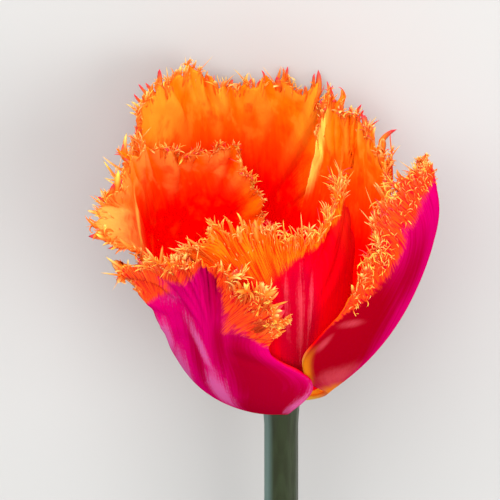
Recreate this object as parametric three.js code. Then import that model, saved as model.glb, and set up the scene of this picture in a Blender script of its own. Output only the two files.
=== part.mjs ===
// A cut fringed tulip lying on its side, with six petals open in a cup, a pistil, six stamens and a
// stem. Millimetres, +Z up. The origin is on the surface, under the middle of the back petal's belly.
import * as THREE from 'three';

// Pose of the bloom: its axis runs along +Y and rises toward the opening
const AXIS_RISE = 8.5;
const RECEPTACLE_HEIGHT = 27.2;
const RECEPTACLE_Y = -39.5;

// What the tulip rests on: two low points of the back petal, as x and y, beside a flat belly that is a
// little higher, and the cut end of the stem
const LOW_POINTS = [[-6, 12], [12, 12]];
const BELLY_HEIGHT = 0.1;

// Petal blades
const BLADE_THICKNESS = 0.75;
const BLADE_COLUMNS = 18;
const BLADE_ROWS = 17;
const MIDRIB_STEPS = 60;
const WIDTH_MEASURED_FROM = 3;
const EDGE_POWER = 2.4;
const TOP_CUT_POWER = 4;
const NORMAL_STEP = 0.01;

// Ruffle: waves that run round the margin, as seen from a centre on the midrib, and die away inside it
const RUFFLE_SIDE_POWER = 3;
const RUFFLE_TOP_POWER = 6;
const RUFFLE_FALL = 1.5;
const RUFFLE_CENTRE = 0.25;
const BLADE_ASPECT = 1.6;

// Fringe: tapered teeth along the free margin of each petal
const TOOTH_MIN = 2.2;
const TOOTH_MAX = 6.0;
const TOOTH_LENGTH_POWER = 1.6;
const TOOTH_LOWEST_SHARE = 0.5;
const TOOTH_SIDE_SWAY = 0.22;
const TOOTH_FACE_SWAY = 0.26;
const FRINGE_FOCUS = 0.35;
const FRINGE_STEP = 0.03;
const FRINGE_ONSET = 0.2;
const TIP_CLEARANCE = 0.4;

// Stem and receptacle
const STEM_LENGTH = 180;
const STEM_RADIUS = 3.8;
const STEM_CUT_RADIUS = 4.2;
const STEM_SIDES = 16;
const STEM_RINGS = 14;
const STEM_END_RISE = 4.8;
const STEM_BEND_POWER = 1.5;
const STEM_COLOUR = 0x7f9072;
const RECEPTACLE_PROFILE = [
  [-9, 3.8], [-4.5, 4.1], [-1.6, 4.75], [0, 4.9], [1.4, 4.55], [2.6, 4.0], [3.2, 3.9],
];

// Pistil: a ridged ovary with a three-lobed stigma, as height and radius
const OVARY_PROFILE = [[3.5, 1.9], [5, 2.25], [9, 2.5], [15, 2.45], [20, 2.1], [23, 1.75]];
const STIGMA_PROFILE = [[24.2, 2.9], [25.4, 3.6], [26.4, 3.3], [27, 1.6]];
const PISTIL_SIDES = 24;
const OVARY_RIDGE = 0.09;
const STIGMA_LOBE = 0.3;
const PISTIL_LOBES = 3;
const PISTIL_COLOUR = 0xa9b85a;

// Stamens: a filament and a long anther
const STAMEN_COUNT = 6;
const STAMEN_START_AZIMUTH = 27;
const STAMEN_SIDES = 8;
const FILAMENT_FOOT = [3.15, 3.5];
const FILAMENT_TOP = [6.2, 11.5];
const ANTHER_TOP = [8.6, 24];
const FILAMENT_RADIUS = 0.55;
const ANTHER_RADIUS = 1.25;
const FILAMENT_PROFILE = [[0, 1.15], [0.5, 1], [1, 0.7]];
const ANTHER_PROFILE = [[0.05, 0.8], [0.25, 1], [0.6, 1], [0.9, 0.75], [1, 0.3]];
const STAMEN_COLOUR = 0x3a2530;

const ROUGHNESS = 0.55;

// Petals. Azimuth 270 faces away from the surface, and 90 faces down to it. Slopes are the rise of the
// midrib over the plane of the base at five stations. Half widths run from base to tip, first toward
// smaller azimuth, then toward larger. Flare and droop bend each side margin out and down at a third
// and two thirds of the length and at the tip. Top cut is the share of the length missing across the
// rim, and the fringe starts at a share of the length on each side.
const PETALS = [
  {
    name: 'petal_outer_front', colour: 0xdb1479,
    azimuth: 238, baseRadius: 5.5, baseHeight: 0, length: 57.5,
    slopes: [4, 40, 77, 85, 72],
    widthLow: [4, 10, 14, 13, 13, 15.5, 17], widthHigh: [4, 9, 14.5, 21, 13, 16, 14],
    flareLow: [0, 2, 9], flareHigh: [0, 1, 3], droopLow: [0, 1, 5.5], droopHigh: [0, 1, 4],
    topCut: [0.03, 0.02, 0.01, 0, 0.02, 0.04, 0.05],
    ruffle: 0.9, waves: 4, phase: 0.5,
    fringeLow: 0.85, fringeHigh: 0.78, seed: 11,
  },
  {
    name: 'petal_outer_right', colour: 0xd81a74,
    azimuth: 353, baseRadius: 5.5, baseHeight: 0, length: 71,
    slopes: [28, 50, 67, 84, 138],
    widthLow: [4.5, 12, 27, 36, 33, 27, 24], widthHigh: [4, 11, 19, 23, 25, 23, 18],
    flareLow: [0.7, -0.3, 0], flareHigh: [1, 1, 1], droopLow: [0, 0, 0], droopHigh: [0, 0, 0],
    topCut: [0.09, 0.03, 0.02, 0.05, 0.09, 0.12, 0.15],
    ruffle: 0.7, waves: 5, phase: 0.1,
    fringeLow: 0.72, fringeHigh: 0.6, seed: 23,
  },
  {
    name: 'petal_outer_back', colour: 0xe03a2a,
    azimuth: 114, baseRadius: 5.5, baseHeight: 0, length: 77.5,
    slopes: [9, 46, 77, 86, 78],
    widthLow: [4, 14, 21, 24, 25, 24, 22], widthHigh: [4, 14, 21, 25, 26, 23, 20.5],
    flareLow: [0, 1, 2], flareHigh: [0, 0, 2], droopLow: [0, 0, 0], droopHigh: [0, 0, 0],
    topCut: [0.13, 0.09, 0.08, 0.06, 0, 0.01, 0.05],
    ruffle: 1.1, waves: 5, phase: 0,
    fringeLow: 0.55, fringeHigh: 0.55, seed: 37,
    carriesBloom: true,
  },
  {
    name: 'petal_inner_front', colour: 0xe6321e,
    azimuth: 279, baseRadius: 4.7, baseHeight: 2.6, length: 65,
    slopes: [14, 50, 84, 96, 98],
    widthLow: [3.4, 12, 20, 25, 26, 25, 23], widthHigh: [3.4, 8, 11, 15, 18, 19.5, 20],
    flareLow: [0, 1, 4], flareHigh: [-2, -5, -8], droopLow: [0, 1, 6], droopHigh: [0, 0, 0],
    topCut: [0.12, 0.08, 0.08, 0.12, 0.1, 0.03, 0.02],
    ruffle: 0.7, waves: 4, phase: 0.3,
    fringeLow: 0.6, fringeHigh: 0.7, seed: 53,
  },
  {
    name: 'petal_inner_right', colour: 0xf5761a,
    azimuth: 54, baseRadius: 4.7, baseHeight: 2.6, length: 64.5,
    slopes: [14, 50, 76, 84, 76],
    widthLow: [3.4, 11, 17, 20, 20, 18, 14], widthHigh: [3.4, 9, 12, 12, 11, 10, 9],
    flareLow: [-2, -3, -3], flareHigh: [0, 0, 0], droopLow: [0, 0, 0], droopHigh: [0, 0, 0],
    topCut: [0.12, 0.11, 0.08, 0.04, 0.02, 0, 0],
    ruffle: 0.9, waves: 5, phase: 0.2,
    fringeLow: 0.5, fringeHigh: 0.86, seed: 59,
  },
  {
    name: 'petal_inner_left', colour: 0xf78a34,
    azimuth: 160, baseRadius: 4.7, baseHeight: 2.6, length: 65,
    slopes: [12, 44, 72, 80, 76],
    widthLow: [3.4, 12, 21, 28, 31, 31, 29], widthHigh: [3.4, 10, 17, 20, 22, 24, 23],
    flareLow: [0, -4, -6], flareHigh: [-2, 1, 10], droopLow: [0, 3, 8], droopHigh: [0, -1, 3],
    topCut: [0.03, 0.1, 0.1, 0.02, 0, 0.04, 0.1],
    ruffle: 0.9, waves: 5, phase: 0.4,
    fringeLow: 0.55, fringeHigh: 0.6, seed: 67,
  },
];

const rad = THREE.MathUtils.degToRad;
const FRINGED_FROM = Math.min(...PETALS.map((petal) => Math.min(petal.fringeLow, petal.fringeHigh)));

// World +Z and +Y, seen from the bloom
const UP = new THREE.Vector3(0, -Math.cos(rad(AXIS_RISE)), Math.sin(rad(AXIS_RISE)));
const FORWARD = new THREE.Vector3(0, Math.sin(rad(AXIS_RISE)), Math.cos(rad(AXIS_RISE)));

const RANDOM_MULTIPLIER = 1664525;
const RANDOM_INCREMENT = 1013904223;
const RANDOM_RANGE = 2 ** 32;

// A repeatable random draw between 0 and 1
function randomFrom(seed) {
  let state = seed >>> 0;
  return () => {
    state = (Math.imul(state, RANDOM_MULTIPLIER) + RANDOM_INCREMENT) >>> 0;
    return state / RANDOM_RANGE;
  };
}

// A smooth value through evenly spaced stations, with t from 0 to 1
function through(stations, t) {
  const last = stations.length - 1;
  const x = THREE.MathUtils.clamp(t, 0, 1) * last;
  const i = Math.min(Math.floor(x), last - 1);
  const f = x - i;
  const b = stations[i];
  const c = stations[i + 1];
  const a = i > 0 ? stations[i - 1] : 2 * b - c;
  const d = i + 2 <= last ? stations[i + 2] : 2 * c - b;
  const slope = c - a;
  const square = 2 * a - 5 * b + 4 * c - d;
  const cube = 3 * b - a - 3 * c + d;
  return b + (slope * f + square * f ** 2 + cube * f ** 3) / 2;
}

// Radius and height along the midrib, from its slopes
function traceMidrib(petal) {
  const radii = [petal.baseRadius];
  const heights = [petal.baseHeight];
  const step = petal.length / MIDRIB_STEPS;
  for (let i = 0; i < MIDRIB_STEPS; i += 1) {
    const slope = rad(through(petal.slopes, (i + 0.5) / MIDRIB_STEPS));
    radii.push(radii[i] + step * Math.cos(slope));
    heights.push(heights[i] + step * Math.sin(slope));
  }
  return { radii, heights };
}

function along(values, t) {
  const x = THREE.MathUtils.clamp(t, 0, 1) * MIDRIB_STEPS;
  const i = Math.min(Math.floor(x), MIDRIB_STEPS - 1);
  return THREE.MathUtils.lerp(values[i], values[i + 1], x - i);
}

// The middle surface of a blade: u runs across from -1 to 1, v from base to tip
function bladePoint(petal, midrib, u, v) {
  const side = Math.abs(u);
  const low = u < 0;
  const t = v - through(petal.topCut, (u + 1) / 2) * v ** TOP_CUT_POWER;
  const radius = along(midrib.radii, t);
  const halfWidth = through(low ? petal.widthLow : petal.widthHigh, v);
  const angle = rad(petal.azimuth) + (u * halfWidth) / Math.max(radius, WIDTH_MEASURED_FROM);
  const flare = through([0, ...(low ? petal.flareLow : petal.flareHigh)], v) * side ** EDGE_POWER;
  const droop = through([0, ...(low ? petal.droopLow : petal.droopHigh)], v) * side ** EDGE_POWER;
  const rim = Math.min(side ** RUFFLE_SIDE_POWER + v ** RUFFLE_TOP_POWER, 1) ** RUFFLE_FALL;
  const turn = Math.atan2(u, (v - RUFFLE_CENTRE) * BLADE_ASPECT) / Math.PI;
  const wave = petal.ruffle * rim * Math.sin(2 * Math.PI * (petal.waves * turn + petal.phase));
  const r = radius + flare + wave;
  return new THREE.Vector3(r * Math.cos(angle), r * Math.sin(angle), along(midrib.heights, t) - droop);
}

function bladeNormal(petal, midrib, u, v) {
  const h = NORMAL_STEP;
  const across = bladePoint(petal, midrib, u + h, v).sub(bladePoint(petal, midrib, u - h, v));
  const up = bladePoint(petal, midrib, u, Math.min(v + h, 1));
  up.sub(bladePoint(petal, midrib, u, Math.max(v - h, 0)));
  return across.cross(up).normalize();
}

// Raises a point of the bloom to at least the given height over the surface that the tulip lies on
function keepAbove(point, height) {
  const lack = height - RECEPTACLE_HEIGHT - point.dot(UP);
  if (lack > 0) point.addScaledVector(UP, lack);
  return point;
}

// Brings the point of a blade's outer face that is nearest each low point down to the surface
function lowerBelly(outer) {
  for (const [x, y] of LOW_POINTS) {
    const offset = (point) => {
      const height = RECEPTACLE_HEIGHT + point.dot(UP);
      return Math.hypot(point.x - x, point.dot(FORWARD) + RECEPTACLE_Y - y, height);
    };
    const nearest = outer.reduce((best, point) => (offset(point) < offset(best) ? point : best));
    nearest.addScaledVector(UP, -RECEPTACLE_HEIGHT - nearest.dot(UP));
  }
}

// The blade's points and triangles in (u, v), shared by both faces, and its outline in order
function bladeLayout() {
  const points = [];
  const triangles = [];
  const grid = [];
  for (let j = 0; j <= BLADE_ROWS; j += 1) {
    grid.push([]);
    for (let i = 0; i <= BLADE_COLUMNS; i += 1) {
      grid[j].push(points.length);
      points.push([(2 * i) / BLADE_COLUMNS - 1, j / BLADE_ROWS]);
    }
  }
  const firstFringed = Math.round(FRINGED_FROM * BLADE_ROWS);
  const halfway = (a, b) => {
    points.push([(points[a][0] + points[b][0]) / 2, (points[a][1] + points[b][1]) / 2]);
    return points.length - 1;
  };
  const leftMiddle = [];
  const rightMiddle = [];
  const topMiddle = [];
  for (let j = firstFringed; j < BLADE_ROWS; j += 1) {
    leftMiddle[j] = halfway(grid[j][0], grid[j + 1][0]);
    rightMiddle[j] = halfway(grid[j][BLADE_COLUMNS], grid[j + 1][BLADE_COLUMNS]);
  }
  for (let i = 0; i < BLADE_COLUMNS; i += 1) {
    topMiddle[i] = halfway(grid[BLADE_ROWS][i], grid[BLADE_ROWS][i + 1]);
  }
  for (let j = 0; j < BLADE_ROWS; j += 1) {
    for (let i = 0; i < BLADE_COLUMNS; i += 1) {
      const ring = [grid[j][i], grid[j][i + 1]];
      if (i === BLADE_COLUMNS - 1 && rightMiddle[j]) ring.push(rightMiddle[j]);
      ring.push(grid[j + 1][i + 1]);
      if (j === BLADE_ROWS - 1) ring.push(topMiddle[i]);
      ring.push(grid[j + 1][i]);
      if (i === 0 && leftMiddle[j]) ring.push(leftMiddle[j]);
      const from = i === 0 ? 1 : 0;
      for (let k = 1; k < ring.length - 1; k += 1) {
        triangles.push([ring[from], ring[(from + k) % ring.length], ring[(from + k + 1) % ring.length]]);
      }
    }
  }
  const outline = grid[0].slice();
  for (let j = 0; j < BLADE_ROWS; j += 1) {
    if (rightMiddle[j]) outline.push(rightMiddle[j]);
    outline.push(grid[j + 1][BLADE_COLUMNS]);
  }
  for (let i = BLADE_COLUMNS - 1; i >= 0; i -= 1) {
    outline.push(topMiddle[i], grid[BLADE_ROWS][i]);
  }
  for (let j = BLADE_ROWS - 1; j > 0; j -= 1) {
    if (leftMiddle[j]) outline.push(leftMiddle[j]);
    outline.push(grid[j][0]);
  }
  return { points, triangles, outline };
}

const layout = bladeLayout();

function petalGeometry(petal) {
  const midrib = traceMidrib(petal);
  const random = randomFrom(petal.seed);
  const outer = [];
  const inner = [];
  for (const [u, v] of layout.points) {
    const middle = bladePoint(petal, midrib, u, v);
    const normal = bladeNormal(petal, midrib, u, v);
    const half = normal.multiplyScalar(BLADE_THICKNESS / 2);
    outer.push(keepAbove(middle.clone().add(half), BELLY_HEIGHT));
    inner.push(keepAbove(middle.clone().sub(half), BELLY_HEIGHT + BLADE_THICKNESS));
  }
  if (petal.carriesBloom) lowerBelly(outer);
  const count = layout.points.length;
  const vertices = [...outer, ...inner];
  const faces = [];
  for (const [a, b, c] of layout.triangles) {
    faces.push([a, b, c], [count + a, count + c, count + b]);
  }
  layout.outline.forEach((a, k) => {
    const b = layout.outline[(k + 1) % layout.outline.length];
    const [ua, va] = layout.points[a];
    const [ub, vb] = layout.points[b];
    const start = ua + ub < 0 ? petal.fringeLow : petal.fringeHigh;
    if (Math.min(va, vb) < start) {
      faces.push([a, count + a, b], [b, count + a, count + b]);
      return;
    }
    const base = outer[a].distanceTo(outer[b]);
    vertices.push(toothTip(petal, midrib, (ua + ub) / 2, (va + vb) / 2, base, random));
    const t = vertices.length - 1;
    faces.push([a, t, b], [count + b, t, count + a], [a, count + a, t], [b, t, count + b]);
  });
  return closedGeometry(vertices, faces);
}

// The tip of one tooth, growing outward in the blade from the margin and swaying a little
function toothTip(petal, midrib, u, v, base, random) {
  const root = bladePoint(petal, midrib, u, v);
  const reach = new THREE.Vector2(u, (v - FRINGE_FOCUS) * BLADE_ASPECT);
  reach.normalize().multiplyScalar(FRINGE_STEP);
  const outward = root.clone().sub(bladePoint(petal, midrib, u - reach.x, v - reach.y)).normalize();
  const normal = bladeNormal(petal, midrib, u, v);
  const sideways = outward.clone().cross(normal);
  const start = u < 0 ? petal.fringeLow : petal.fringeHigh;
  const grown = THREE.MathUtils.smoothstep(v, start - FRINGE_ONSET / 2, start + FRINGE_ONSET);
  const full = THREE.MathUtils.lerp(TOOTH_MIN, TOOTH_MAX, random() ** TOOTH_LENGTH_POWER);
  const length = full * THREE.MathUtils.lerp(TOOTH_LOWEST_SHARE, 1, grown);
  const tip = root.addScaledVector(outward, length);
  tip.addScaledVector(sideways, (random() - 0.5) * 2 * TOOTH_SIDE_SWAY * base);
  tip.addScaledVector(normal, (random() - 0.5) * 2 * TOOTH_FACE_SWAY * length);
  return keepAbove(tip, TIP_CLEARANCE);
}

function closedGeometry(vertices, faces) {
  const geometry = new THREE.BufferGeometry();
  const positions = new Float32Array(vertices.length * 3);
  vertices.forEach((p, k) => p.toArray(positions, 3 * k));
  geometry.setAttribute('position', new THREE.BufferAttribute(positions, 3));
  geometry.setIndex(faces.flat());
  geometry.computeVertexNormals();
  return geometry;
}

// A closed body through rings of the same number of points, with a flat cap on each end
function loft(rings) {
  const sides = rings[0].length;
  const vertices = rings.flat();
  const faces = [];
  for (let k = 0; k + 1 < rings.length; k += 1) {
    for (let i = 0; i < sides; i += 1) {
      const a = k * sides + i;
      const b = k * sides + ((i + 1) % sides);
      faces.push([a, b, b + sides], [a, b + sides, a + sides]);
    }
  }
  const last = (rings.length - 1) * sides;
  for (let i = 1; i + 1 < sides; i += 1) {
    faces.push([0, i + 1, i], [last, last + i, last + i + 1]);
  }
  return closedGeometry(vertices, faces);
}

// One ring about the Z axis, its radius swelling in lobes
function levelRing(radius, height, sides, lobes, swell) {
  const ring = [];
  for (let i = 0; i < sides; i += 1) {
    const angle = (2 * Math.PI * i) / sides;
    const r = radius * (1 + swell * Math.cos(lobes * angle));
    ring.push(new THREE.Vector3(r * Math.cos(angle), r * Math.sin(angle), height));
  }
  return ring;
}

// The stem leaves the receptacle along the bloom's axis and bends down to the surface at its cut end
function stemGeometry() {
  const rings = [];
  const start = rad(AXIS_RISE);
  const end = rad(STEM_END_RISE);
  const step = STEM_LENGTH / STEM_RINGS;
  const foot = new THREE.Vector3(0, 0, RECEPTACLE_PROFILE[0][0]);
  const heading = new THREE.Vector3();
  for (let k = 0; k <= STEM_RINGS; k += 1) {
    const share = k / STEM_RINGS;
    const bend = (start - end) * share ** STEM_BEND_POWER;
    heading.set(0, -Math.sin(bend), -Math.cos(bend));
    if (k > 0) foot.addScaledVector(heading, step);
    const across = new THREE.Vector3(0, Math.cos(bend), -Math.sin(bend));
    const radius = THREE.MathUtils.lerp(STEM_RADIUS, STEM_CUT_RADIUS, share);
    const ring = [];
    for (let i = 0; i < STEM_SIDES; i += 1) {
      const angle = (2 * Math.PI * i) / STEM_SIDES;
      const point = foot.clone().addScaledVector(across, radius * Math.sin(angle));
      point.x += radius * Math.cos(angle);
      ring.push(point);
    }
    rings.push(ring);
  }
  rings.reverse();
  for (const [height, radius] of RECEPTACLE_PROFILE.slice(1)) {
    rings.push(levelRing(radius, height, STEM_SIDES, 0, 0));
  }
  return loft(rings);
}

function pistilGeometry() {
  const ovary = OVARY_PROFILE.map(([z, r]) => levelRing(r, z, PISTIL_SIDES, PISTIL_LOBES, OVARY_RIDGE));
  const stigma = STIGMA_PROFILE.map(([z, r]) => levelRing(r, z, PISTIL_SIDES, PISTIL_LOBES, STIGMA_LOBE));
  return loft([...ovary, ...stigma]);
}

// One stamen in the plane of +X: a thin filament and a longer, thicker anther
function stamenGeometry() {
  const section = (from, to, radius) => ([share, swell]) => {
    const x = THREE.MathUtils.lerp(from[0], to[0], share);
    const z = THREE.MathUtils.lerp(from[1], to[1], share);
    const ring = levelRing(radius * swell, z, STAMEN_SIDES, 0, 0);
    ring.forEach((point) => { point.x += x; });
    return ring;
  };
  const filament = FILAMENT_PROFILE.map(section(FILAMENT_FOOT, FILAMENT_TOP, FILAMENT_RADIUS));
  const anther = ANTHER_PROFILE.map(section(FILAMENT_TOP, ANTHER_TOP, ANTHER_RADIUS));
  return loft([...filament, ...anther]);
}

function part(name, geometry, colour) {
  const material = new THREE.MeshStandardMaterial({ color: colour, roughness: ROUGHNESS, metalness: 0 });
  const mesh = new THREE.Mesh(geometry, material);
  mesh.name = name;
  return mesh;
}

const bloom = new THREE.Group();
bloom.rotation.x = rad(AXIS_RISE) - Math.PI / 2;
bloom.position.set(0, RECEPTACLE_Y, RECEPTACLE_HEIGHT);

bloom.add(part('stem', stemGeometry(), STEM_COLOUR));
for (const petal of PETALS) {
  bloom.add(part(petal.name, petalGeometry(petal), petal.colour));
}
bloom.add(part('pistil', pistilGeometry(), PISTIL_COLOUR));
const stamen = stamenGeometry();
for (let k = 0; k < STAMEN_COUNT; k += 1) {
  const mesh = part(`stamen_${k + 1}`, stamen, STAMEN_COLOUR);
  mesh.rotation.z = rad(STAMEN_START_AZIMUTH + (360 * k) / STAMEN_COUNT);
  bloom.add(mesh);
}

const group = new THREE.Group();
group.add(bloom);

export default group;
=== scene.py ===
"""A cut fringed tulip that lies on its side: six petals with hairy fringed rims, pistil, stamens, stem.

The petals repeat the CAD's blade formula on a fine grid and add crumpled rims, teeth and hairs.
Shapes are worked out in millimetres in the bloom's own frame, whose +Z is the flower's axis and whose
azimuth 270 faces up from the surface that the tulip lies on, and are then moved to the row frame.
"""
import math
from dataclasses import dataclass

import bpy
import numpy as np
from mathutils import Matrix, Vector


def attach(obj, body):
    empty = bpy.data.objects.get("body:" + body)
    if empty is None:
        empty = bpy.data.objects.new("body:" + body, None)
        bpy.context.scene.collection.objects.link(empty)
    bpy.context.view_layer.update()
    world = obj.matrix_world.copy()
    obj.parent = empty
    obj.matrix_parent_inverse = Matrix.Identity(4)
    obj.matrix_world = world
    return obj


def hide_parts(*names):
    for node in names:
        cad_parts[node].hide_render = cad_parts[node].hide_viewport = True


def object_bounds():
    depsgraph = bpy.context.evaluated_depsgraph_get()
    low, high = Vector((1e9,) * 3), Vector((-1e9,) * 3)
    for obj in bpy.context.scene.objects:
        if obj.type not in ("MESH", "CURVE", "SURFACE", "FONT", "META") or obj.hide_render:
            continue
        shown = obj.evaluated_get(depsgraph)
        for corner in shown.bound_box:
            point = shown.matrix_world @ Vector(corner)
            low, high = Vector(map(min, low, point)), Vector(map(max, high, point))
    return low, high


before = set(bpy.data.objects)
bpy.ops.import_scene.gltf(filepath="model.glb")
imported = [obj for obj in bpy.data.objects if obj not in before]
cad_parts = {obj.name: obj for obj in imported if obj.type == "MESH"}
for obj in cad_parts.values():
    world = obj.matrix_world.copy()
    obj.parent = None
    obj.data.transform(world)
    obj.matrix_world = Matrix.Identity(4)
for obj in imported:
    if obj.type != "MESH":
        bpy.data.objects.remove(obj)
CAD_LOW, CAD_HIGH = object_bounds()

MM = 0.001
AXIS_RISE = math.radians(8.5)
RECEPTACLE_HEIGHT = 27.2
RECEPTACLE_Y = -39.5
BELLY_HEIGHT = 0.1


# The bloom's frame and the row frame

def to_row(points):
    """Points of the bloom's frame, in millimetres, in the row frame in metres."""
    x, y, z = np.moveaxis(np.asarray(points, float), -1, 0)
    s, c = math.sin(AXIS_RISE), math.cos(AXIS_RISE)
    row = np.stack([x, y * s + z * c + RECEPTACLE_Y, z * s - y * c + RECEPTACLE_HEIGHT], -1)
    return row * MM


UP = np.array([0, -math.cos(AXIS_RISE), math.sin(AXIS_RISE)])


def keep_above(points, height):
    """Points of the bloom's frame raised to at least this height over the surface."""
    lack = np.maximum(height - RECEPTACLE_HEIGHT - points @ UP, 0)
    return points + lack[..., None] * UP


# Numbers that vary smoothly

SHORTEST_VECTOR = 1e-9


def through(stations, t):
    """A smooth value through evenly spaced stations, with t from 0 to 1."""
    values = np.asarray(stations, float)
    last = len(values) - 1
    x = np.clip(np.asarray(t, float), 0, 1) * last
    i = np.minimum(x.astype(int), last - 1)
    f = x - i
    padded = np.concatenate([[2 * values[0] - values[1]], values, [2 * values[-1] - values[-2]]])
    a, b, c, d = (padded[i + k] for k in range(4))
    return b + ((c - a) * f + (2 * a - 5 * b + 4 * c - d) * f**2 + (3 * b - a - 3 * c + d) * f**3) / 2


def smoothstep(low, high, x):
    t = np.clip((x - low) / (high - low), 0, 1)
    return t * t * (3 - 2 * t)


def ring_angles(sides):
    return math.tau * np.arange(sides) / sides


def unit(vectors):
    return vectors / np.maximum(np.linalg.norm(vectors, axis=-1, keepdims=True), SHORTEST_VECTOR)


# Petals

MIDRIB_STEPS = 60
WIDTH_MEASURED_FROM = 3
EDGE_POWER = 2.4
TOP_CUT_POWER = 4
RUFFLE_SIDE_POWER = 3
RUFFLE_TOP_POWER = 6
RUFFLE_FALL = 1.5
RUFFLE_CENTRE = 0.25
BLADE_ASPECT = 1.6
FAN_LENGTH = 25
RIM_LISTED_FROM = 0.7
CORNER_ROUNDING = 3
NARROWEST_ZONE = 0.5
NORMAL_STEP = 0.006
INWARD_STEP = 0.02
NEAREST_TO_GRAIN = 1e-6
LEAST_STRETCH = 5
OUTWARD_FROM = 0.8

COLUMNS = 140
ROWS = 104
THICK_MIDDLE = 0.72
THICK_RIM = 0.3
THICK_SIDE = 0.95
THICKENS_OVER = (0, 14)
SIDE_STARTS_OVER = (0.8, 1)
SIDE_THICKENS_OVER = (4, 10)

# Torn margin: pointed lobes of the blade, in millimetres, over this share of the rim from the tip
LOBES_REACH = 0.75
LOBE_SPACING = 2.1
LOBE_SCATTER = 0.8
LOBE_HALF = (0.7, 1.7)
LOBE_HEIGHT = (0.25, 1)
LOBE_HEIGHT_POWER = 1.3
LOBE_TURN = 0.6
LOBE_FALL = 2.4
LOBE_FALL_POWER = 1.5
TUCK_FALL = 8

# Crumples of the rim, in millimetres: frills by height and length, broader folds by height, length and
# slant, and fine ribs. They end over a range of depths and start over one from the focus
RANDOM_PHASES = 8
FRILLS = ((0.6, 8.5), (0.6, 4.9), (0.4, 3.1))
FRILL_SLANT = 0.05
FRILL_FALL_POWER = 1.6
FOLDS = ((1, 12, 0.09), (0.6, 6.7, -0.12))
FOLDS_END_OVER = (26, 8)
FOLDS_START_OVER = (0.1, 0.45)
FOLDS_IN = 0.6
RIB_HEIGHT = 0.05
RIB_SPACING = 1.1
RIBS_END_OVER = (20, 4)
RIBS_START_OVER = (0.2, 0.5)


@dataclass
class Spot:
    """A soft spot of another colour on one face; its place and size are shares across and along."""
    u: float
    v: float
    wide: float
    tall: float
    strength: float = 1
    lean: float = 0


def spots(patches, u, v):
    total = np.zeros(np.shape(u))
    for patch in patches:
        across = (u - patch.u - patch.lean * (v - patch.v)) / patch.wide
        up = (v - patch.v) / patch.tall
        total = np.maximum(total, patch.strength * np.exp(-(across**2) - up**2))
    return total


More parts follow.
